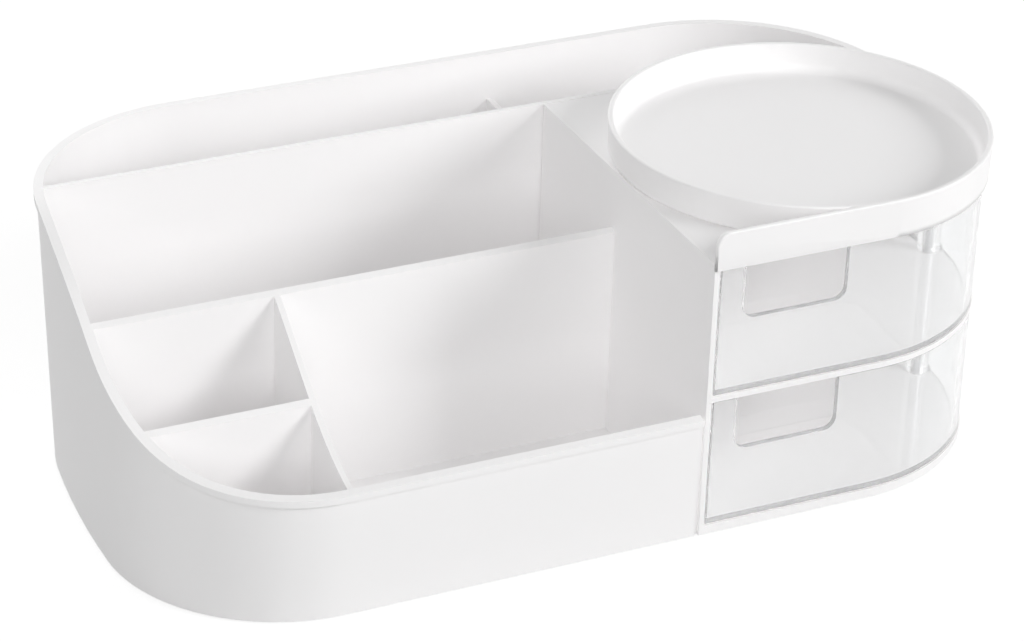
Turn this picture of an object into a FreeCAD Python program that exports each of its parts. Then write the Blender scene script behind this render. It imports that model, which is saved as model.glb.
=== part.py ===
"""Desk make-up organizer: an open caddy beside a cabinet of two clear drawers that swing out on one pin,
under a round tray. Millimetres, +Z up, front towards -Y. The origin is the middle of the underside."""
import FreeCAD, Part
import math
import os
from FreeCAD import Vector

os.makedirs("parts", exist_ok=True)

# ---- drawer cabinet: its left face is x = 0 and its front face is y = 0 while the pieces are built ----
CABINET_SIDE = 132.0        # the cabinet is square in plan
CABINET_WALL = 2.0
BASE_T = 1.8                # base plate, above the recess that takes the caddy's flange
BASE_RECESS = 1.5
TOP_T = 2.0
SKIRT_T = 2.0
SHELF_T = 2.0
GROOVE_DEPTH = 0.8          # the shelf slides in along grooves in three walls
JAMB_GAP = 0.6              # from the swinging curve of a drawer to the end of the right wall
BOSS_R = 3.5
BOSS_H = 12.0
BOSS_FROM_BACK = 7.5
BOSS_FROM_SIDE = 10.0

# ---- clear drawers ----
DRAWER_H = 47.35
DRAWER_WALL = 2.2
DRAWER_FLOOR = 2.4
DRAWER_INSET = 0.3          # front face, behind the cabinet's front
DRAWER_SIDE_GAP = 0.5
DRAWER_TOP_GAP = 0.3
ROOF_GAP = 0.6
DRAWER_BACK_CORNER_R = 8.0
DRAWER_REAR_SPACE = 12.0    # from the drawers' straight back to the cabinet's inner back face
DRAWER_COVE = 1.2           # bevel between the floor and the walls, inside
NOTCH_FROM_LEFT = 9.4       # finger notch, from the drawer's left side
NOTCH_W = 39.0
NOTCH_DEPTH = 20.0
NOTCH_R = 4.5

# ---- hinge of the drawers ----
PIN_R = 1.5
PIN_HEAD_R = 3.0
PIN_HEAD_H = 1.0
PIN_TOP_MARGIN = 0.4
PIN_RUN = 0.05              # radial running clearance
BARREL_WALL = 2.8
KNUCKLE_R = 6.3             # the drawer's corner is rounded about the pin
WASHER_T = 0.5
WASHER_R = 3.6
WASHER_RUN = 0.05

# ---- round tray with its straight apron; it laps a little over the cabinet ----
TRAY_LAP_FRONT = 2.0
TRAY_LAP_RIGHT = 1.1
TRAY_LAP_LEFT = 0.5
TRAY_H = 12.0
TRAY_WALL = 2.0
TRAY_FLOOR = 1.6
TRAY_COVE = 2.6             # bevel between the dish's floor and its wall
TRAY_RIM_EASE = 0.5
TRAY_DRAFT_DEG = 2.0        # its outer face leans out as it rises
APRON_DROP = 1.9            # below the cabinet's top face
APRON_CORNER_R = 5.0
STAKE_R = 2.4
STAKE_L = 1.7
STAKE_CIRCLE_R = 45.0
STAKE_COUNT = 3

# ---- caddy ----
CADDY_REACH = 190.6         # cabinet's left face to the caddy's furthest point, at the floor
BACK_BAY_DEPTH = 46.2       # behind the cabinet, outside, at the floor
CADDY_WALL = 2.3
CADDY_FLOOR = 2.0
STAND_RIM_H = 1.0           # the floor stands on a rim round its edge
STAND_RIM_W = 4.0
DRAFT_DEG = 1.5
CADDY_FRONT_SET = 0.3
FRONT_CORNER_R = 61.4
SIDE_BOW_R = 396.0          # the left side is gently bowed
SIDE_BOW_Y = 71.3
BACK_CORNER_R = 63.4
BACK_RIGHT_R = 66.0
FLOOR_COVE = 2.6            # bevel between the floor and the walls, inside

# the rim's sweep, seen from the side: level, hollow curve, slope, crown curve, level
RIM_FRONT_H = 45.5
SWEEP_START_Y = -15.5
SWEEP_HOLLOW_R = 93.7
SWEEP_CROWN_R = 107.0
SWEEP_DEG = 36.0
BEAD_OUT = 1.0
BEAD_H = 2.4

DIVIDER_T = 2.0
DIVIDER_DROP = 5.6          # the low dividers lie this far under the sweep
MID_DIVIDER_Y = 73.3
SMALL_DIVIDER_Y = 40.0
SHORT_DIVIDER_X = -125.0
CROSS_DIVIDER_H = 86.2
SEAM_GAP = 0.3
SEAM_GROOVE_W = 1.1
SEAM_GROOVE_DEPTH = 1.1

FLANGE_T = 1.4              # reaches from the caddy's floor under the cabinet
FLANGE_W = 14.0
FLANGE_BACK_W = 20.0
FLANGE_ROOT = 6.0

# ---- fastenings and feet ----
SCREW_R = 1.1
SCREW_HEAD_R = 2.2
SCREW_HEAD_H = 1.1
SCREW_L = 10.0
SCREW_BITE = 0.02
FOOT_R = 4.0
FOOT_OUT = 0.8              # the pads stand out this far under the rim
FOOT_INSET = 16.0
POCKET_GAP = 0.1

# ---- heights that follow ----
base_top = BASE_RECESS + BASE_T
low_drawer_z = base_top + WASHER_T + WASHER_RUN
shelf_z = low_drawer_z + DRAWER_H + DRAWER_TOP_GAP
shelf_top = shelf_z + SHELF_T
high_drawer_z = shelf_top + WASHER_T + WASHER_RUN
roof_z = high_drawer_z + DRAWER_H + ROOF_GAP
cabinet_top = roof_z + TOP_T
tray_top = cabinet_top + TRAY_H
apron_z = cabinet_top - APRON_DROP
caddy_floor_z = STAND_RIM_H + CADDY_FLOOR

# ---- plan positions that follow ----
curve_r = CABINET_SIDE / 2
curve_centre = Vector(curve_r, curve_r, 0)
tray_r = curve_r + (TRAY_LAP_LEFT + TRAY_LAP_RIGHT) / 2
tray_centre = Vector(tray_r - TRAY_LAP_LEFT, tray_r - TRAY_LAP_FRONT, 0)
tray_flare = math.tan(math.radians(TRAY_DRAFT_DEG))
wall_in = CABINET_SIDE - CADDY_WALL                 # inner face of the caddy's right wall
housing_right = wall_in - SEAM_GAP
bay_right = housing_right - CABINET_WALL
pin = Vector(CABINET_SIDE - DRAWER_INSET - KNUCKLE_R, curve_r, 0)
jamb_y = curve_r + KNUCKLE_R + JAMB_GAP
sweep_r = pin.x - CABINET_WALL - DRAWER_SIDE_GAP    # the drawers' far corner swings inside this radius
drawer_back = CABINET_SIDE - CABINET_WALL - DRAWER_REAR_SPACE
boss_y = CABINET_SIDE - BOSS_FROM_BACK
flare = math.tan(math.radians(DRAFT_DEG))
caddy_back = CABINET_SIDE + BACK_BAY_DEPTH

FAR = 400.0                 # longer than anything, for cutting tools


def block(x0, y0, z0, x1, y1, z1):
    return Part.makeBox(x1 - x0, y1 - y0, z1 - z0, Vector(x0, y0, z0))


def rod(radius, z0, z1, centre):
    return Part.makeCylinder(radius, z1 - z0, Vector(centre.x, centre.y, z0))


def polar(centre, radius, degrees, z=0.0):
    angle = math.radians(degrees)
    return Vector(centre.x + radius * math.cos(angle), centre.y + radius * math.sin(angle), z)


def arc(centre, radius, start, end, z=0.0):
    """The arc from one angle to another about a centre, through their mean angle."""
    points = [polar(centre, radius, a, z) for a in (start, (start + end) / 2, end)]
    return Part.Arc(*points).toShape()


def line(a, b):
    return Part.LineSegment(a, b).toShape()


def prism(edges, z0, z1):
    """Extrude a closed outline drawn at z = 0."""
    face = Part.Face(Part.Wire(edges))
    face.translate(Vector(0, 0, z0))
    return face.extrude(Vector(0, 0, z1 - z0))


def polygon(points):
    """Straight edges through the points; the outline stays open."""
    return [line(Vector(*a, 0), Vector(*b, 0)) for a, b in zip(points, points[1:])]


def angle_of(centre, point):
    return math.degrees(math.atan2(point.y - centre.y, point.x - centre.x)) % 360


# ---------------------------------------------------------------- caddy
def caddy_wire(inset, z):
    """The caddy's outline at a height, moved in by an inset; both corners on the right are left square."""
    out = flare * z
    grow = out - inset
    front = CADDY_FRONT_SET
    bow = Vector(SIDE_BOW_R - CADDY_REACH, SIDE_BOW_Y, 0)
    low = Vector(0, front + FRONT_CORNER_R, 0)
    low.x = bow.x - math.sqrt((SIDE_BOW_R - FRONT_CORNER_R) ** 2 - (low.y - bow.y) ** 2)
    high = Vector(0, caddy_back - BACK_CORNER_R, 0)
    high.x = bow.x - math.sqrt((SIDE_BOW_R - BACK_CORNER_R) ** 2 - (high.y - bow.y) ** 2)
    low_angle = angle_of(bow, low)
    high_angle = angle_of(bow, high)
    corner = Vector(CABINET_SIDE - inset, front - grow, z)
    edges = [line(corner, polar(low, FRONT_CORNER_R + grow, 270, z))]
    edges.append(arc(low, FRONT_CORNER_R + grow, 270, low_angle, z))
    edges.append(arc(bow, SIDE_BOW_R + grow, low_angle, high_angle, z))
    edges.append(arc(high, BACK_CORNER_R + grow, high_angle, 90, z))
    back_corner = Vector(corner.x, caddy_back + grow, z)
    edges.append(line(polar(high, BACK_CORNER_R + grow, 90, z), back_corner))
    edges.append(line(back_corner, corner))
    return Part.Wire(edges)


def back_right_waste(inset, z0, z1):
    """What the round back-right corner leaves of a square one: it leans back with the back wall."""
    radius = BACK_RIGHT_R - inset
    centre = Vector(CABINET_SIDE - BACK_RIGHT_R, caddy_back - BACK_RIGHT_R + flare * z0, 0)
    back_end = polar(centre, radius, 90, z0)
    right_end = polar(centre, radius, 0, z0)
    outside = Vector(centre.x + 2 * radius, centre.y + 2 * radius, z0)
    edges = [arc(centre, radius, 0, 90, z0)]
    edges.append(line(back_end, Vector(back_end.x, outside.y, z0)))
    edges.append(line(Vector(back_end.x, outside.y, z0), outside))
    edges.append(line(outside, Vector(outside.x, right_end.y, z0)))
    edges.append(line(Vector(outside.x, right_end.y, z0), right_end))
    return Part.Face(Part.Wire(edges)).extrude(Vector(0, flare * (z1 - z0), z1 - z0))


def caddy_block(inset, z0, z1):
    """A solid of the caddy's outline that flares as it rises."""
    square = Part.makeLoft([caddy_wire(inset, z0), caddy_wire(inset, z1)], True, True)
    return square.cut(back_right_waste(inset, z0, z1))


def sweep_edges(drop):
    """The rim's side profile in the Y-Z plane, lowered by a drop, from the front to the far back."""
    top = cabinet_top - drop
    start = Vector(0, SWEEP_START_Y, RIM_FRONT_H - drop)
    angle = math.radians(SWEEP_DEG)
    hollow = start + Vector(0, 0, SWEEP_HOLLOW_R)
    hollow_mid = hollow + SWEEP_HOLLOW_R * Vector(0, math.sin(angle / 2), -math.cos(angle / 2))
    hollow_end = hollow + SWEEP_HOLLOW_R * Vector(0, math.sin(angle), -math.cos(angle))
    crown_z = top - SWEEP_CROWN_R * (1 - math.cos(angle))
    crown_y = hollow_end.y + (crown_z - hollow_end.z) / math.tan(angle)
    crown_start = Vector(0, crown_y, crown_z)
    crown = Vector(0, crown_y + SWEEP_CROWN_R * math.sin(angle), top - SWEEP_CROWN_R)
    crown_mid = crown + SWEEP_CROWN_R * Vector(0, -math.sin(angle / 2), math.cos(angle / 2))
    crown_end = crown + Vector(0, 0, SWEEP_CROWN_R)
    return [
        line(Vector(0, -FAR, start.z), start),
        Part.Arc(start, hollow_mid, hollow_end).toShape(),
        line(hollow_end, crown_start),
        Part.Arc(crown_start, crown_mid, crown_end).toShape(),
        line(crown_end, Vector(0, FAR, top)),
    ]


def above_sweep(drop):
    """Everything over the lowered rim line, as a cutting tool."""
    edges = sweep_edges(drop)
    near = Vector(0, -FAR, FAR)
    far = Vector(0, FAR, FAR)
    edges.append(line(edges[-1].Vertexes[-1].Point, far))
    edges.append(line(far, near))
    edges.append(line(near, edges[0].Vertexes[0].Point))
    face = Part.Face(Part.Wire(edges))
    face.translate(Vector(-FAR, 0, 0))
    return face.extrude(Vector(2 * FAR, 0, 0))


def caddy_walls():
    """The flared outer wall, the floor with its inner fillet, and the rim that the floor stands on."""
    # two heights, so that the tall leaning corner is a plain patch and only the band over it meets the rim
    band_z = cabinet_top - 2 * BEAD_H
    walls = caddy_block(0, 0, band_z).fuse(caddy_block(0, band_z, cabinet_top))
    hollow = caddy_block(CADDY_WALL, caddy_floor_z, cabinet_top + 1)
    low_edges = [e for e in hollow.Edges if e.BoundBox.ZMax < caddy_floor_z + 0.01]
    hollow = hollow.makeChamfer(FLOOR_COVE, low_edges)
    recess = caddy_block(STAND_RIM_W, -1, STAND_RIM_H)
    return walls.cut(hollow).cut(recess)


def rim_bead():
    """The rounded band round the outside of the rim, which follows the sweep."""
    shell = caddy_block(-BEAD_OUT, RIM_FRONT_H - 3 * BEAD_H, cabinet_top)
    shell = shell.cut(caddy_block(CADDY_WALL / 2, RIM_FRONT_H - 4 * BEAD_H, cabinet_top + 1))
    band = above_sweep(BEAD_H).cut(above_sweep(0))
    return shell.common(band)


def caddy_dividers():
    """The moulded-in dividers, each reaching half way into the walls it meets."""
    room = caddy_block(CADDY_WALL / 2, STAND_RIM_H + CADDY_FLOOR / 2, cabinet_top)
    half = DIVIDER_T / 2
    behind = CABINET_SIDE + SEAM_GAP
    z0 = caddy_floor_z - CADDY_FLOOR / 2
    low = block(-FAR, MID_DIVIDER_Y - half, z0, -SEAM_GAP, MID_DIVIDER_Y + half, cabinet_top)
    short_left, short_right = SHORT_DIVIDER_X - half, SHORT_DIVIDER_X + half
    small_front, small_back = SMALL_DIVIDER_Y - half, SMALL_DIVIDER_Y + half
    low = low.fuse(block(short_left, -FAR, z0, short_right, MID_DIVIDER_Y, cabinet_top))
    low = low.fuse(block(-FAR, small_front, z0, SHORT_DIVIDER_X, small_back, cabinet_top))
    low = low.cut(above_sweep(DIVIDER_DROP))
    back = block(-FAR, behind, z0, wall_in + CADDY_WALL / 2, behind + DIVIDER_T, cabinet_top)
    cross = block(-half, behind + half, z0, half, FAR, CROSS_DIVIDER_H)
    return low.fuse(back).fuse(cross).common(room)


def bay_cutter():
    """The caddy stops here: its front-right corner is open for the cabinet, and its floor ends at the bay."""
    front = block(-SEAM_GAP, -FAR, -1, FAR, jamb_y, FAR)
    floor = block(-SEAM_GAP, -FAR, -1, FAR, CABINET_SIDE + SEAM_GAP, caddy_floor_z + FLOOR_COVE)
    floor = floor.common(caddy_block(CADDY_WALL, -1, caddy_floor_z + FLOOR_COVE))
    return front.fuse(floor)


def flange():
    """The thin ledge that runs under the cabinet's left, back and right edges and carries it."""
    room = caddy_block(CADDY_WALL / 2, 0, FLANGE_T)
    outer = block(-FLANGE_ROOT, SKIRT_T + SEAM_GAP, 0, FAR, CABINET_SIDE + FLANGE_ROOT, FLANGE_T)
    window = block(FLANGE_W, -FAR, -1, wall_in - FLANGE_W, CABINET_SIDE - FLANGE_BACK_W, FAR)
    corner = block(wall_in - FLANGE_W - 1, -FAR, -1, FAR, jamb_y + PIN_HEAD_R, FAR)
    ledge = outer.common(room).cut(window).cut(corner)
    for point in screw_points():
        ledge = ledge.cut(rod(SCREW_R + POCKET_GAP, -1, FAR, point))
        ledge = ledge.cut(screw_head(point, POCKET_GAP))
    return ledge


def screw_points():
    left = CABINET_WALL + BOSS_FROM_SIDE
    right = housing_right - CABINET_WALL - BOSS_FROM_SIDE - BOSS_R
    return [Vector(x, boss_y, 0) for x in (left, (left + right) / 2, right)]


def screw_head(point, grow):
    """A countersunk head that opens downwards."""
    radius = SCREW_HEAD_R + grow
    shaft = SCREW_R + grow
    return Part.makeCone(radius, shaft, SCREW_HEAD_H, Vector(point.x, point.y, 0))


def foot_points():
    """Two rows of pads, each pad with the height of the surface that it sits against."""
    back = caddy_back - FOOT_INSET
    left = -CADDY_REACH + FRONT_CORNER_R
    row = [Vector(x, back, STAND_RIM_H) for x in (left, left / 2, curve_r)]
    row += [Vector(x, FOOT_INSET, STAND_RIM_H) for x in (left, left / 2)]
    row.append(Vector(CABINET_SIDE - 2 * FOOT_INSET, 2 * FOOT_INSET, BASE_RECESS))
    return row


def caddy():
    body = caddy_walls().fuse(rim_bead()).cut(above_sweep(0))
    body = body.fuse(caddy_dividers()).cut(bay_cutter())
    groove = block(-SEAM_GAP - SEAM_GROOVE_W, -FAR, -1, 0, CADDY_FRONT_SET + SEAM_GROOVE_DEPTH, FAR)
    body = body.cut(groove).fuse(flange())
    return body.removeSplitter()


# ---------------------------------------------------------------- cabinet housing and shelf
def cabinet_outline(inset, right, right_turn):
    """Square plan with the quarter circle at the front right; behind the jamb the right edge steps in."""
    radius = curve_r - inset
    arc_end = polar(curve_centre, radius, 0)
    corner_r = BACK_RIGHT_R - (CABINET_SIDE - right)
    corner = Vector(CABINET_SIDE - BACK_RIGHT_R, caddy_back - BACK_RIGHT_R, 0)
    back_angle = math.degrees(math.asin((CABINET_SIDE - right_turn - corner.y) / corner_r))
    back_x = polar(corner, corner_r, back_angle).x
    edges = [arc(curve_centre, radius, 270, 360)]
    edges += polygon([(arc_end.x, arc_end.y), (arc_end.x, jamb_y - SEAM_GAP), (right, jamb_y - SEAM_GAP)])
    edges += polygon([(right, jamb_y - SEAM_GAP), (right, corner.y)])
    edges.append(arc(corner, corner_r, 0, back_angle))
    left = right_turn
    edges += polygon([(back_x, CABINET_SIDE - right_turn), (left, CABINET_SIDE - right_turn), (left, inset)])
    edges += polygon([(left, inset), (curve_r, inset)])
    return edges


def behind_skirt():
    """The region inside the front skirt, open towards the sides and the back, as an outline."""
    radius = curve_r - SKIRT_T
    end = polar(curve_centre, radius, 0)
    edges = [arc(curve_centre, radius, 270, 360)]
    edges += polygon([(end.x, end.y), (end.x, jamb_y), (FAR, jamb_y), (FAR, FAR), (-FAR, FAR)])
    edges += polygon([(-FAR, FAR), (-FAR, SKIRT_T), (curve_r, SKIRT_T)])
    return edges


def bay_outline(left, right, back):
    """The drawer bay, open at the front and at the quarter circle."""
    corner_r = BACK_RIGHT_R - (CABINET_SIDE - right)
    corner = Vector(CABINET_SIDE - BACK_RIGHT_R, caddy_back - BACK_RIGHT_R, 0)
    back_angle = math.degrees(math.asin((back - corner.y) / corner_r))
    back_x = polar(corner, corner_r, back_angle).x
    edges = [arc(corner, corner_r, 0, back_angle)]
    edges += polygon([(back_x, back), (left, back), (left, -FAR), (FAR, -FAR), (FAR, jamb_y)])
    edges += polygon([(FAR, jamb_y), (right, jamb_y), (right, corner.y)])
    return edges


def housing():
    """One moulding: base, left wall, back wall, right wall and top, with the shelf's grooves."""
    body = prism(cabinet_outline(0, housing_right, 0), 0, cabinet_top)
    back = CABINET_SIDE - CABINET_WALL
    body = body.cut(prism(bay_outline(CABINET_WALL, bay_right, back), base_top, roof_z))
    body = body.cut(prism(behind_skirt(), -1, BASE_RECESS))
    grooved = bay_outline(CABINET_WALL - GROOVE_DEPTH, bay_right + GROOVE_DEPTH, back + GROOVE_DEPTH)
    body = body.cut(prism(grooved, shelf_z - POCKET_GAP, shelf_top + POCKET_GAP))
    # the tray's apron hangs in front of the top plate and the left wall's end
    set_back = TRAY_WALL + SEAM_GAP
    ledge = block(-FAR, -FAR, apron_z - SEAM_GAP, FAR, jamb_y - SEAM_GAP, FAR)
    kept = rod(tray_r - set_back, -1, FAR, tray_centre)
    kept = kept.fuse(block(-1, set_back - TRAY_LAP_FRONT, -1, tray_centre.x, FAR, FAR))
    kept = kept.fuse(block(0, tray_centre.y, -1, housing_right, FAR, FAR))
    body = body.cut(ledge.cut(kept))
    for point in screw_points():
        body = body.fuse(rod(BOSS_R, base_top - BASE_T / 2, base_top + BOSS_H, point))
        body = body.cut(rod(SCREW_R + SCREW_BITE, -1, SCREW_L + BASE_RECESS, point))
    for point in stake_points():
        body = body.cut(rod(STAKE_R + POCKET_GAP, roof_z - 1, FAR, point))
    body = body.cut(rod(PIN_R + PIN_RUN, -1, FAR, pin))
    return body.removeSplitter()


def mid_shelf():
    """The plate between the drawers, held in the grooves and threaded on the pin."""
    reach = GROOVE_DEPTH - POCKET_GAP
    edges = cabinet_outline(0, bay_right + reach, CABINET_WALL - reach)
    plate = prism(edges, shelf_z, shelf_top)
    return plate.cut(rod(PIN_R + PIN_RUN, -1, FAR, pin))


# ---------------------------------------------------------------- drawers
def drawer_outline(inset):
    """Straight front, quarter-circle side, a corner rounded about the pin, and a back that swings clear."""
    front = DRAWER_INSET + inset
    left = CABINET_WALL + DRAWER_SIDE_GAP + inset
    back = drawer_back - inset
    right = bay_right - DRAWER_SIDE_GAP + DRAWER_INSET / 2 - inset
    knuckle = KNUCKLE_R - inset
    curve = curve_r - DRAWER_INSET - inset
    sweep = sweep_r - inset
    turn = math.degrees(math.acos((right - pin.x) / knuckle))
    swing = 180 - math.degrees(math.asin((back - pin.y) / sweep))
    sweep_end = polar(pin, sweep, swing)
    knuckle_end = polar(pin, knuckle, turn)
    edges = [line(Vector(left, front, 0), Vector(curve_r, front, 0))]
    edges.append(arc(curve_centre, curve, 270, 360))
    edges.append(arc(pin, knuckle, 0, turn))
    edges.append(line(knuckle_end, Vector(right, back, 0)))
    edges.append(line(Vector(right, back, 0), sweep_end))
    edges.append(arc(pin, sweep, swing, 180))
    edges.append(line(Vector(left, pin.y, 0), Vector(left, front, 0)))
    return edges


def upright_edges(solid, x0, x1, y0, y1):
    """The vertical edges of a prism that stand inside a rectangle."""
    found = []
    for edge in solid.Edges:
        box = edge.BoundBox
        inside = x0 < box.XMin and box.XMax < x1 and y0 < box.YMin and box.YMax < y1
        if inside and box.ZLength > 1 and box.XLength < 0.01 and box.YLength < 0.01:
            found.append(edge)
    return found


def rounded_drawer_block(inset, z0, z1):
    solid = prism(drawer_outline(inset), z0, z1)
    corners = upright_edges(solid, -FAR, FAR, drawer_back - DRAWER_WALL * 2, FAR)
    return solid.makeFillet(DRAWER_BACK_CORNER_R - inset, corners)


def drawer(z0):
    z1 = z0 + DRAWER_H
    body = rounded_drawer_block(0, z0, z1)
    hollow = rounded_drawer_block(DRAWER_WALL, z0 + DRAWER_FLOOR, z1 + 1)
    floor_z = z0 + DRAWER_FLOOR
    low_edges = [e for e in hollow.Edges if e.BoundBox.ZMax < floor_z + 0.01]
    hollow = hollow.makeChamfer(DRAWER_COVE, low_edges)
    body = body.cut(hollow)
    barrel = rod(PIN_R + PIN_RUN + BARREL_WALL, z0, z1, pin)
    body = body.fuse(barrel).cut(rod(PIN_R + PIN_RUN, z0 - 1, z1 + 1, pin))
    x0 = CABINET_WALL + DRAWER_SIDE_GAP + NOTCH_FROM_LEFT
    notch = block(x0, -1, z1 - NOTCH_DEPTH, x0 + NOTCH_W, DRAWER_WALL * 2, z1 + NOTCH_DEPTH)
    corners = [e for e in notch.Edges if e.BoundBox.ZLength < 0.01 and e.BoundBox.XLength < 0.01]
    notch = notch.makeFillet(NOTCH_R, [e for e in corners if e.BoundBox.ZMax < z1])
    return body.cut(notch).removeSplitter()


# ---------------------------------------------------------------- tray
def stake_points():
    step = 360 / STAKE_COUNT
    return [polar(tray_centre, STAKE_CIRCLE_R, 90 + step * i) for i in range(STAKE_COUNT)]


def tray_wall(low_z):
    """The wall's section as depths behind its front and heights: the leaning face, then the eased rim."""
    ease = TRAY_RIM_EASE
    return [
        ((tray_top - low_z) * tray_flare, low_z),
        (ease * tray_flare, tray_top - ease),
        (ease, tray_top),
        (TRAY_WALL, tray_top),
    ]


def tray_face(outline):
    """A face in the upright plane through the dish's axis, from depths behind the tray's front."""
    outline = outline + outline[:1]
    points = [Vector(tray_centre.x, depth - TRAY_LAP_FRONT, z) for depth, z in outline]
    return Part.Face(Part.makePolygon(points))


def tray():
    """A turned dish with a short skirt over the quarter circle and a straight apron to the left corner."""
    floor_z = cabinet_top + TRAY_FLOOR
    section = tray_wall(apron_z)
    section += [
        (TRAY_WALL, floor_z + TRAY_COVE),
        (TRAY_WALL + TRAY_COVE, floor_z),
        (tray_r, floor_z),
        (tray_r, cabinet_top),
        (TRAY_WALL, cabinet_top),
        (TRAY_WALL, apron_z),
    ]
    body = tray_face(section).revolve(tray_centre, Vector(0, 0, 1), 360)
    below = apron_z - 1
    body = body.cut(block(-FAR, -FAR, below, tray_centre.x, FAR, cabinet_top))
    body = body.cut(block(-FAR, jamb_y - SEAM_GAP, below, FAR, FAR, cabinet_top))
    apron = tray_face(tray_wall(apron_z) + [(TRAY_WALL, apron_z)]).extrude(Vector(-tray_r, 0, 0))
    end = block(-TRAY_LAP_LEFT, -FAR, below, tray_centre.x, FAR, tray_top)
    end_edge = [e for e in end.Edges if e.BoundBox.XMax < 0 and e.BoundBox.ZMin > cabinet_top]
    body = body.fuse(apron.common(end.makeFillet(APRON_CORNER_R, end_edge)))
    for point in stake_points():
        body = body.fuse(rod(STAKE_R, cabinet_top - STAKE_L, cabinet_top + TRAY_FLOOR / 2, point))
    return body.removeSplitter()


# ---------------------------------------------------------------- small pieces
def hinge_pin():
    head = rod(PIN_HEAD_R, BASE_RECESS - PIN_HEAD_H, BASE_RECESS, pin)
    return head.fuse(rod(PIN_R, BASE_RECESS - PIN_HEAD_H, cabinet_top - PIN_TOP_MARGIN, pin)).removeSplitter()


def washer(z0):
    ring = rod(WASHER_R, z0, z0 + WASHER_T, pin)
    return ring.cut(rod(PIN_R + PIN_RUN, z0 - 1, z0 + WASHER_T + 1, pin))


def screws():
    pieces = []
    for point in screw_points():
        body = screw_head(point, 0).fuse(rod(SCREW_R, 0, SCREW_L, point)).removeSplitter()
        body.translate(Vector(0, 0, POCKET_GAP))
        pieces.append(body)
    return Part.makeCompound(pieces)


def foot(point):
    """A round pad of soft rubber, cut from sheet."""
    return rod(FOOT_R, -FOOT_OUT, point.z, point)


pieces = {
    "caddy_tub": caddy(),
    "cabinet_housing": housing(),
    "mid_shelf": mid_shelf(),
    "top_tray": tray(),
    "lower_drawer": drawer(low_drawer_z),
    "upper_drawer": drawer(high_drawer_z),
    "hinge_pin": hinge_pin(),
    "lower_hinge_washer": washer(base_top),
    "upper_hinge_washer": washer(shelf_top),
    "housing_screws": screws(),
}
for number, spot in enumerate(foot_points(), 1):
    pieces["foot_pad_%d" % number] = foot(spot)

# the origin is under the middle of the whole, on the table
whole = Part.makeCompound(list(pieces.values())).optimalBoundingBox()
middle = Vector((whole.XMin + whole.XMax) / 2, (whole.YMin + whole.YMax) / 2, whole.ZMin)
for name, shape in pieces.items():
    shape.translate(-middle)
    shape.exportStep("parts/" + name + ".step")
print("moved by", -middle)
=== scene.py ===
import bmesh
import bpy
import math
from mathutils import Matrix, Vector


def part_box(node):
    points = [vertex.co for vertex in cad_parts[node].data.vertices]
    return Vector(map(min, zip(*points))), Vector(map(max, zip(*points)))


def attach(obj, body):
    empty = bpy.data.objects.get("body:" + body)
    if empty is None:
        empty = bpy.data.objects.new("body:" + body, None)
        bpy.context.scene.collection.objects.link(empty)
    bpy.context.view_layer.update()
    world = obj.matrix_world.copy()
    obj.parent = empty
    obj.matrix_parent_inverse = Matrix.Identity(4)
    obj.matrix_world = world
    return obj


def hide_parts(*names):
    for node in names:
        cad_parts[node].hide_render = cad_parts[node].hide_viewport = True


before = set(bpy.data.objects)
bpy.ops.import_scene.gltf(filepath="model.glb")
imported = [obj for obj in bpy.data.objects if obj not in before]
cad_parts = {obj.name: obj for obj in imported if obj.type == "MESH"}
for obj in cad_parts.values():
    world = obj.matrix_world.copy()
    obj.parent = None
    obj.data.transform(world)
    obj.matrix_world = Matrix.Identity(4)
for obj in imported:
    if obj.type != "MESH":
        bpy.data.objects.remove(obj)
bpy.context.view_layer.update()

# ---------------------------------------------------------------- caddy
# The open caddy with its outer wall, sloping rim, floor and dividers is one injection moulding in white
# polypropylene. Its face is satin, its open edges are slightly rounded and its inner corners filled.


class Wire:
    """A shader socket that takes part in Python sums."""

    def __init__(self, finish, socket):
        self.finish = finish
        self.socket = socket

    def math(self, operation, first, second):
        return self.finish.node("ShaderNodeMath", {"operation": operation}, {0: first, 1: second})

    def __add__(self, other):
        return self.math("ADD", self, other)

    __radd__ = __add__

    def __mul__(self, other):
        return self.math("MULTIPLY", self, other)

    __rmul__ = __mul__

    def __sub__(self, other):
        return self.math("SUBTRACT", self, other)

    def __rsub__(self, other):
        return self.math("SUBTRACT", other, self)


class Finish:
    """The nodes of a material or of the studio around it, all made by one method."""

    def __init__(self, owner):
        self.owner = owner
        owner.use_nodes = True
        self.tree = owner.node_tree
        self.tree.nodes.clear()

    def node(self, kind, settings=None, inputs=None, output=0):
        made = self.tree.nodes.new(kind)
        for key, value in (settings or {}).items():
            setattr(made, key, value)
        for key, value in (inputs or {}).items():
            if isinstance(value, Wire):
                self.tree.links.new(value.socket, made.inputs[key])
            else:
                made.inputs[key].default_value = value
        return Wire(self, made.outputs[output]) if made.outputs else made

    def place(self):
        """Object coordinates, in metres."""
        return self.node("ShaderNodeTexCoord", output="Object")

    def noise(self, scale, detail, roughness=0.5):
        inputs = {"Vector": self.place(), "Scale": scale, "Detail": detail, "Roughness": roughness}
        return self.node("ShaderNodeTexNoise", None, inputs)

    def blend(self, factor, first, second):
        inputs = {"Factor": factor, "A": (*first, 1), "B": (*second, 1)}
        return self.node("ShaderNodeMix", {"data_type": "RGBA"}, inputs, output=2)

    def relief(self, height, strength, distance, below=None):
        """A bump, laid over another one where there is one."""
        inputs = {"Height": height, "Strength": strength, "Distance": distance}
        if below:
            inputs["Normal"] = below
        return self.node("ShaderNodeBump", None, inputs)

    def surface(self, shader, kind="ShaderNodeOutputMaterial"):
        self.node(kind, None, {"Surface": shader})
        return self.owner


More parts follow.
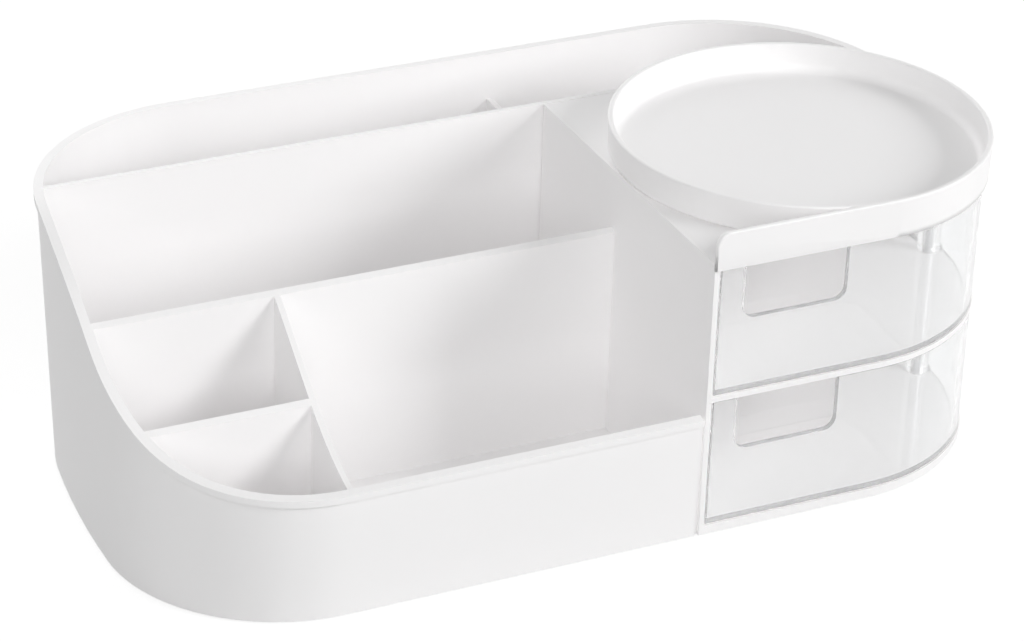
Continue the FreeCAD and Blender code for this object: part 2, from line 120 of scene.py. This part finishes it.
def satin_white(name, colour, roughness):
    """White plastic with the flow clouds, the soft waviness and the fine grain of a mould."""
    finish = Finish(bpy.data.materials.new(name))
    clouds = finish.noise(11.0, 3.0)
    waves = finish.relief(finish.noise(70.0, 1.0), 0.05, 0.0006)
    skin = finish.relief(finish.noise(2600.0, 2.0), 0.12, 0.00006, waves)
    wear = finish.noise(240.0, 4.0, 0.7)
    inputs = {
        "Base Color": finish.blend(clouds, [c * 0.985 for c in colour], colour),
        "Roughness": roughness + (wear - 0.5) * 0.14,
        "Normal": skin,
        "IOR": 1.49,
        "Specular IOR Level": 0.4,
    }
    return finish.surface(finish.node("ShaderNodeBsdfPrincipled", None, inputs))


white = satin_white("white_satin_plastic", (0.952, 0.945, 0.946), 0.42)


def piece_of(name, shape, material):
    """Put a finished bmesh into the scene, smooth save at the edges set as sharp."""
    for face in shape.faces:
        face.smooth = True
    mesh = bpy.data.meshes.new(name)
    shape.to_mesh(mesh)
    shape.free()
    mesh.materials.append(material)
    piece = bpy.data.objects.new(name, mesh)
    bpy.context.scene.collection.objects.link(piece)
    return piece


def moulded(node, edge_radius, material, reshape=None):
    """A cleaned copy of a solid, its edges rounded save where the caddy's walls end beside the cabinet."""
    shape = bmesh.new()
    shape.from_mesh(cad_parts[node].data)
    bmesh.ops.remove_doubles(shape, verts=shape.verts, dist=SAME_POINT)
    bmesh.ops.dissolve_limit(shape, angle_limit=FLAT_ANGLE, verts=shape.verts, edges=shape.edges)
    if reshape:
        reshape(shape)
    round_off = shape.edges.layers.float.new("bevel_weight_edge")
    for edge in shape.edges:
        ends = [f.calc_center_median().x for f in edge.link_faces if f.normal.x > 0.99]
        seam = any(abs(cabinet_left - end) < SEAM_REACH for end in ends)
        edge[round_off] = 0.0 if seam or edge.calc_face_angle(0) < SHARP_EDGE else 1.0
        edge.smooth = not seam
    piece = piece_of(node + "_finished", shape, material)
    rounding = piece.modifiers.new("edges", "BEVEL")
    rounding.width = edge_radius
    rounding.segments = 3
    rounding.limit_method = "WEIGHT"
    piece.modifiers.new("normals", "WEIGHTED_NORMAL").keep_sharp = True
    return piece


def mounted(piece, body, node):
    """Let a piece ride on its body and stand for its solid."""
    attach(piece, body)
    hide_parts(node)


SAME_POINT = 0.000001
FLAT_ANGLE = math.radians(0.4)
SHARP_EDGE = math.radians(28)
CADDY_EDGE_R = 0.0004
INNER_CORNER_R = 0.002
INNER_CORNER_TURN = 0.7
FLOOR_TOP_Z = 0.004
SEAM_REACH = 0.0015     # an end face as near the cabinet as this keeps its sharp edges
SEAM_GAP = 0.0003
SEAM_CLOSED = 0.00002
cabinet_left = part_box("cabinet_housing")[0][0]


def fitted(shape):
    """Push the walls' ends up to the cabinet, and fillet the upright inner corners of the bins."""
    ends = [v for v in shape.verts if abs(cabinet_left - v.co.x - SEAM_GAP) < SEAM_CLOSED]
    bmesh.ops.translate(shape, verts=ends, vec=(SEAM_GAP - SEAM_CLOSED, 0, 0))
    corners = []
    for edge in shape.edges:
        upright = len(edge.link_faces) == 2 and max(abs(f.normal.z) for f in edge.link_faces) < 0.1
        in_bin = min(v.co.z for v in edge.verts) > FLOOR_TOP_Z
        if upright and in_bin and not edge.is_convex and edge.calc_face_angle() > INNER_CORNER_TURN:
            corners.append(edge)
    bmesh.ops.bevel(shape, geom=corners, offset=INNER_CORNER_R, offset_type="OFFSET", segments=4, profile=0.5,
                    affect="EDGES", material=-1, clamp_overlap=True)


caddy = moulded("caddy_tub", CADDY_EDGE_R, white, fitted)
mounted(caddy, "organizer", "caddy_tub")

# ---------------------------------------------------------------- cabinet housing
# The drawer cabinet is one white moulding: base, three walls and a roof round a bay that is open at the
# front and at the quarter circle. It drops into the caddy's open corner and is screwed from below.
CABINET_EDGE_R = 0.0003
housing = moulded("cabinet_housing", CABINET_EDGE_R, white)
mounted(housing, "organizer", "cabinet_housing")

# ---------------------------------------------------------------- shelf
# A white plate between the two drawers. It slides into grooves in the cabinet's walls and is held there
# by the hinge pin that passes through it.
shelf = moulded("mid_shelf", CABINET_EDGE_R, white)
mounted(shelf, "organizer", "mid_shelf")

# ---------------------------------------------------------------- hinge pin and washers
# A turned steel pin runs through base, drawers, shelf and roof. Each drawer turns on a thin acetal
# washer that keeps it clear of the plate below.


def worked(name, dark, light, roughness, metallic, grain, depth):
    """A small part's material: two close tones, an uneven gloss and a grain of its own size."""
    finish = Finish(bpy.data.materials.new(name))
    tones = finish.noise(grain * 0.12, 3.0)
    texture = finish.noise(grain, 3.0, 0.6)
    inputs = {
        "Base Color": finish.blend(tones, dark, light),
        "Roughness": roughness + (texture - 0.5) * 0.18,
        "Metallic": metallic,
        "Normal": finish.relief(texture, 0.25, depth),
    }
    return finish.surface(finish.node("ShaderNodeBsdfPrincipled", None, inputs))


steel = worked("turned_steel", (0.54, 0.54, 0.55), (0.66, 0.66, 0.67), 0.28, 1.0, 3000.0, 0.00002)
acetal = worked("acetal_washer", (0.76, 0.76, 0.74), (0.84, 0.84, 0.82), 0.45, 0.0, 1800.0, 0.00002)
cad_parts["hinge_pin"].material_slots[0].material = steel
for washer in ("lower_hinge_washer", "upper_hinge_washer"):
    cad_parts[washer].material_slots[0].material = acetal

# ---------------------------------------------------------------- drawers
# Two drawers in clear polystyrene, each moulded in one with its barrel and with a finger notch in the
# front. The floor and the side wall are thinner than the front, so only a fine line shows of each.
SOLID_WALL, SOLID_FLOOR, SOLID_COVE = 0.0022, 0.0024, 0.0012
CLEAR_SIDE, CLEAR_FLOOR, CLEAR_COVE = 0.0012, 0.0008, 0.0005
WALL_SLACK = 0.0002
DRAWER_EDGE_R = 0.00025


def clear_plastic(name):
    """Clear polystyrene with a faint milkiness; lamps and bounced light pass through it unbent."""
    finish = Finish(bpy.data.materials.new(name))
    haze = finish.noise(25.0, 3.0)
    scuffs = finish.noise(900.0, 3.0, 0.65)
    inputs = {
        "Base Color": finish.blend(haze, (0.975, 0.982, 0.985), (0.99, 0.993, 0.995)),
        "Roughness": 0.02 + scuffs * 0.04,
        "Transmission Weight": 0.88,
        "IOR": 1.5,
        "Normal": finish.relief(finish.noise(40.0, 1.0), 0.03, 0.0005),
    }
    body = finish.node("ShaderNodeBsdfPrincipled", None, inputs)
    passing = finish.node("ShaderNodeBsdfTransparent", None, {"Color": (0.998, 0.998, 0.998, 1)})
    bounced = finish.node("ShaderNodeLightPath", output="Is Diffuse Ray")
    lamp = finish.node("ShaderNodeLightPath", output="Is Shadow Ray")
    inside = finish.node("ShaderNodeMixShader", None, {0: bounced, 1: body, 2: passing})
    return finish.surface(finish.node("ShaderNodeMixShader", None, {0: lamp, 1: inside, 2: passing}))


def thinned(shape):
    """Bring the inner faces of the side wall and of the floor nearer to the outer ones."""
    low = min(v.co.z for v in shape.verts)
    left = min(v.co.x for v in shape.verts)
    cove_top = SOLID_FLOOR + SOLID_COVE
    for height, new_height in ((SOLID_FLOOR, CLEAR_FLOOR), (cove_top, CLEAR_FLOOR + CLEAR_COVE)):
        level = [v for v in shape.verts if abs(v.co.z - low - height) < WALL_SLACK / 2]
        bmesh.ops.translate(shape, verts=level, vec=(0, 0, new_height - height))
    nearest, furthest = SOLID_WALL - WALL_SLACK, SOLID_WALL + SOLID_COVE + WALL_SLACK
    inner = [v for v in shape.verts if nearest < v.co.x - left < furthest]
    bmesh.ops.translate(shape, verts=inner, vec=(CLEAR_SIDE - SOLID_WALL, 0, 0))


clear = clear_plastic("clear_drawer_plastic")
for node, body in (("lower_drawer", "drawer_low"), ("upper_drawer", "drawer_high")):
    mounted(moulded(node, DRAWER_EDGE_R, clear, thinned), body, node)

# ---------------------------------------------------------------- tray
# The round dish on top of the cabinet: one moulding with a short skirt round the quarter circle and a
# straight apron that runs on to the left corner. Three stakes under its floor hold it on the cabinet.
tray_low, tray_high = (Vector(corner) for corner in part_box("top_tray"))
seat_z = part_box("cabinet_housing")[1][2]
rim_r = (tray_high.x - tray_low.x) / 2
axis = Vector((tray_low.x + rim_r, tray_low.y + rim_r, 0))
TRAY_WALL = 0.002
TRAY_FLOOR = 0.0016
TRAY_LEAN = math.radians(2)
COVE_R = 0.0034
RIM_ROUND = 0.0007
FOOT_ROUND = 0.0017
APRON_CORNER_R = 0.005
STAKE_R = 0.0024
STAKE_LENGTH = 0.0017
STAKE_BEVEL = 0.0003
STAKE_CIRCLE_R = 0.045
SKIRT_END_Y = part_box("hinge_pin")[0][1] + 0.0096
RIGHT_HALF_FROM = 0.02
STEPS = 144
SAME_PLACE = 0.00001
OUTLINE_SLACK = 0.0002
MERGE_DIST = 0.000004
JOINT_MERGE_DIST = 0.00003


def lean(z):
    """How far the outer face has leaned in at a height, from its place at the rim."""
    return (tray_high.z - z) * math.tan(TRAY_LEAN)


def rounded(shape, corners, radius, segments):
    """Round the corners of a flat outline."""
    bmesh.ops.bevel(shape, geom=corners, offset=radius, offset_type="OFFSET", segments=segments, profile=0.5,
                    affect="VERTICES", material=-1)


def dish():
    """The dish, turned from one section, with the skirt drawn down out of its under side."""
    shape = bmesh.new()
    outline = [
        (lean(seat_z), seat_z),
        (0, tray_high.z),
        (TRAY_WALL, tray_high.z),
        (TRAY_WALL, seat_z + TRAY_FLOOR),
        (rim_r, seat_z + TRAY_FLOOR),
        (rim_r, seat_z),
        (TRAY_WALL, seat_z),
    ]
    corners = [shape.verts.new((axis.x, tray_low.y + depth, z)) for depth, z in outline]
    shape.faces.new(corners)
    at_axis = shape.edges.get((corners[4], corners[5]))
    rounded(shape, corners[1:3], RIM_ROUND, 5)
    rounded(shape, [corners[3]], COVE_R, 10)
    bmesh.ops.delete(shape, geom=shape.faces[:], context="FACES_ONLY")
    bmesh.ops.delete(shape, geom=[at_axis], context="EDGES")
    bmesh.ops.spin(shape, geom=shape.verts[:] + shape.edges[:], cent=axis, axis=(0, 0, 1),
                   angle=2 * math.pi, steps=STEPS, use_merge=True)
    bmesh.ops.remove_doubles(shape, verts=shape.verts, dist=MERGE_DIST)
    right = [f for f in shape.faces if f.calc_center_median().x > axis.x + RIGHT_HALF_FROM]
    right += list({e for f in right for e in f.edges}) + list({v for f in right for v in f.verts})
    bmesh.ops.bisect_plane(shape, geom=right, plane_co=(0, SKIRT_END_Y, 0), plane_no=(0, 1, 0))
    bmesh.ops.recalc_face_normals(shape, faces=shape.faces)
    ring = []
    for face in shape.faces:
        middle = face.calc_center_median()
        near_rim = (middle.xy - axis.xy).length > rim_r - TRAY_WALL - lean(seat_z)
        if face.normal.z < -0.99 and near_rim and middle.x > axis.x and middle.y < SKIRT_END_Y:
            ring.append(face)
    made = bmesh.ops.extrude_face_region(shape, geom=ring)
    bmesh.ops.delete(shape, geom=ring, context="FACES")
    lowest = [item for item in made["geom"] if isinstance(item, bmesh.types.BMVert)]
    for vert in lowest:
        out = Vector((vert.co.x - axis.x, vert.co.y - axis.y, 0))
        if out.length > rim_r - TRAY_WALL / 2:
            vert.co -= out.normalized() * (lean(tray_low.z) - lean(seat_z))
        vert.co.z = tray_low.z
    bmesh.ops.recalc_face_normals(shape, faces=shape.faces)
    foot = []
    for edge in shape.edges:
        out = [(v.co.xy - axis.xy).length for v in edge.verts]
        on_seat = all(abs(v.co.z - seat_z) < SAME_PLACE for v in edge.verts)
        outermost = min(out) > rim_r - lean(seat_z) - OUTLINE_SLACK
        if on_seat and outermost and len(edge.link_faces) == 2:
            if edge.calc_face_angle() > 1 and edge.is_convex:
                foot.append(edge)
    bmesh.ops.bevel(shape, geom=foot, offset=FOOT_ROUND, offset_type="OFFSET", segments=6, profile=0.5,
                    affect="EDGES", material=-1, clamp_overlap=True)
    return shape


def apron():
    """The straight plate in front of the cabinet's left half, with its top corner rounded."""
    shape = bmesh.new()
    ends = [(tray_low.x, tray_low.z), (axis.x, tray_low.z), (axis.x, tray_high.z), (tray_low.x, tray_high.z)]
    corners = [shape.verts.new((x, tray_low.y, z)) for x, z in ends]
    shape.faces.new(corners)
    rounded(shape, [corners[3]], APRON_CORNER_R, 10)
    made = bmesh.ops.extrude_face_region(shape, geom=shape.faces[:])
    moved = [item for item in made["geom"] if isinstance(item, bmesh.types.BMVert)]
    bmesh.ops.translate(shape, verts=moved, vec=(0, TRAY_WALL, 0))
    bmesh.ops.recalc_face_normals(shape, faces=shape.faces)
    far = axis.x - 0.0001
    edges = [e for e in shape.edges if e.calc_face_angle(0) > 1 and min(v.co.x for v in e.verts) < far]
    upper = [e for e in edges if max(v.co.z for v in e.verts) > tray_low.z + 0.0001]
    bmesh.ops.bevel(shape, geom=upper, offset=RIM_ROUND, offset_type="OFFSET", segments=5, profile=0.5,
                    affect="EDGES", material=-1, clamp_overlap=True)
    for vert in shape.verts:
        vert.co.y += lean(vert.co.z) * (1 - (vert.co.y - tray_low.y) / TRAY_WALL)
    return shape


def stakes(shape):
    """Three round stakes under the dish, each with a bevelled tip."""
    tip_z = seat_z - STAKE_LENGTH
    root_z = seat_z + TRAY_FLOOR / 2
    for turn in (90, 210, 330):
        side = Vector((math.cos(math.radians(turn)), math.sin(math.radians(turn)), 0))
        place = axis + side * STAKE_CIRCLE_R
        middle = Matrix.Translation((place.x, place.y, (tip_z + root_z) / 2))
        made = bmesh.ops.create_cone(shape, cap_ends=True, segments=32, radius1=STAKE_R, radius2=STAKE_R,
                                     depth=root_z - tip_z, matrix=middle)
        tip = {e for v in made["verts"] for e in v.link_edges
               if all(w.co.z < tip_z + SAME_PLACE for w in e.verts)}
        bmesh.ops.bevel(shape, geom=list(tip), offset=STAKE_BEVEL, segments=2, profile=0.5,
                        affect="EDGES", material=-1)


def combined(piece, other, operation):
    """Settle an exact Boolean of two pieces in the first one's mesh."""
    joint = piece.modifiers.new("joint", "BOOLEAN")
    joint.operation = operation
    joint.solver = "EXACT"
    joint.object = other
    shape = bmesh.new()
    shape.from_object(piece, bpy.context.evaluated_depsgraph_get())
    bmesh.ops.remove_doubles(shape, verts=shape.verts, dist=JOINT_MERGE_DIST)
    bmesh.ops.dissolve_degenerate(shape, edges=shape.edges, dist=MERGE_DIST)
    shape.to_mesh(piece.data)
    shape.free()
    piece.modifiers.clear()
    bpy.data.objects.remove(other)


tray = piece_of("top_tray_dish", dish(), white)
combined(tray, piece_of("apron", apron(), white), "UNION")
under = bmesh.new()
stakes(under)
combined(tray, piece_of("stakes", under, white), "UNION")
tray.modifiers.new("normals", "WEIGHTED_NORMAL").keep_sharp = True
mounted(tray, "organizer", "top_tray")

# ---------------------------------------------------------------- screws and feet
# Three countersunk steel screws hold the cabinet on the caddy's flange. Six soft rubber pads are stuck
# under the base and carry the organizer.
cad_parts["housing_screws"].material_slots[0].material = steel
rubber = worked("pad_rubber", (0.66, 0.66, 0.655), (0.73, 0.73, 0.725), 0.72, 0.0, 2200.0, 0.00005)
for number in range(1, 7):
    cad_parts["foot_pad_%d" % number].material_slots[0].material = rubber

# ---------------------------------------------------------------- table, light and camera
# A white table under soft studio light: one nearer lamp at the front right, and wide fills at the
# front, behind and at the left.


def looked_at(finish):
    """1 for a ray that shows the surface to the camera, straight or in gloss and glass; 0 for light."""
    kinds = ("Is Camera Ray", "Is Glossy Ray", "Is Transmission Ray")
    straight, gloss, glass = (finish.node("ShaderNodeLightPath", output=kind) for kind in kinds)
    return straight + gloss + glass


table = bmesh.new()
bmesh.ops.create_grid(table, x_segments=2, y_segments=2, size=6.0)
paper = Finish(bpy.data.materials.new("white_paper"))
lit = paper.node("ShaderNodeBsdfDiffuse", None, {"Color": (0.55, 0.55, 0.55, 1)})
shade = paper.node("ShaderNodeBsdfDiffuse", None, {"Color": (0.3, 0.3, 0.3, 1)})
glow = paper.node("ShaderNodeEmission", None, {"Color": (1, 1, 1, 1), "Strength": 0.8})
seen = paper.node("ShaderNodeAddShader", None, {0: shade, 1: glow})
paper.surface(paper.node("ShaderNodeMixShader", None, {0: looked_at(paper), 1: lit, 2: seen}))
piece_of("table_top", table, paper.owner)

studio = Finish(bpy.data.worlds.new("studio"))
bpy.context.scene.world = studio.owner
fill = studio.node("ShaderNodeBackground", None, {"Color": (1, 1, 1, 1), "Strength": 0.2})
backdrop = studio.node("ShaderNodeBackground", None, {"Color": (1, 1, 1, 1), "Strength": 1.0})
around = studio.node("ShaderNodeMixShader", None, {0: looked_at(studio), 1: fill, 2: backdrop})
studio.surface(around, "ShaderNodeOutputWorld")


def softbox(name, place, size, power):
    """A square lamp that faces the organizer."""
    lamp = bpy.data.lights.new(name, "AREA")
    lamp.shape = "SQUARE"
    lamp.size = size
    lamp.energy = power
    holder = bpy.data.objects.new(name, lamp)
    holder.location = place
    holder.rotation_euler = (Vector((0, 0, 0.05)) - Vector(place)).to_track_quat("-Z", "Y").to_euler()
    bpy.context.scene.collection.objects.link(holder)


softbox("key", (1.72, -1.44, 1.10), 0.9, 33.5)
softbox("front_fill", (-0.80, -1.99, 1.29), 2.0, 25.0)
softbox("rear_fill", (0.00, 2.27, 1.06), 2.0, 30.0)
softbox("left_fill", (-2.27, -0.00, 1.06), 2.0, 9.0)

lens = 121.39
azimuth, elevation, roll = math.radians(-25.5456), math.radians(28.6479), math.radians(1.8578)
outward = Vector((math.sin(azimuth), -math.cos(azimuth), 0))
back = outward * math.cos(elevation) + Vector((0, 0, math.sin(elevation)))
level = Vector((math.cos(azimuth), math.sin(azimuth), 0))
upright = back.cross(level)
across = level * math.cos(roll) + upright * math.sin(roll)
above = upright * math.cos(roll) - level * math.sin(roll)
camera_data = bpy.data.cameras.new("camera")
camera_data.lens = lens
camera = bpy.data.objects.new("camera", camera_data)
stand = Matrix((across, above, back)).transposed().to_4x4()
stand.translation = Vector(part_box("cabinet_housing")[0]) + Vector((-0.489294, -0.871374, 0.625728))
camera.matrix_world = stand
bpy.context.scene.collection.objects.link(camera)
bpy.context.scene.camera = camera
bpy.context.scene.view_settings.view_transform = "Standard"
light_paths = bpy.context.scene.cycles
light_paths.max_bounces = 24
light_paths.diffuse_bounces = 16
light_paths.glossy_bounces = 8
light_paths.transmission_bounces = 24
light_paths.transparent_max_bounces = 48
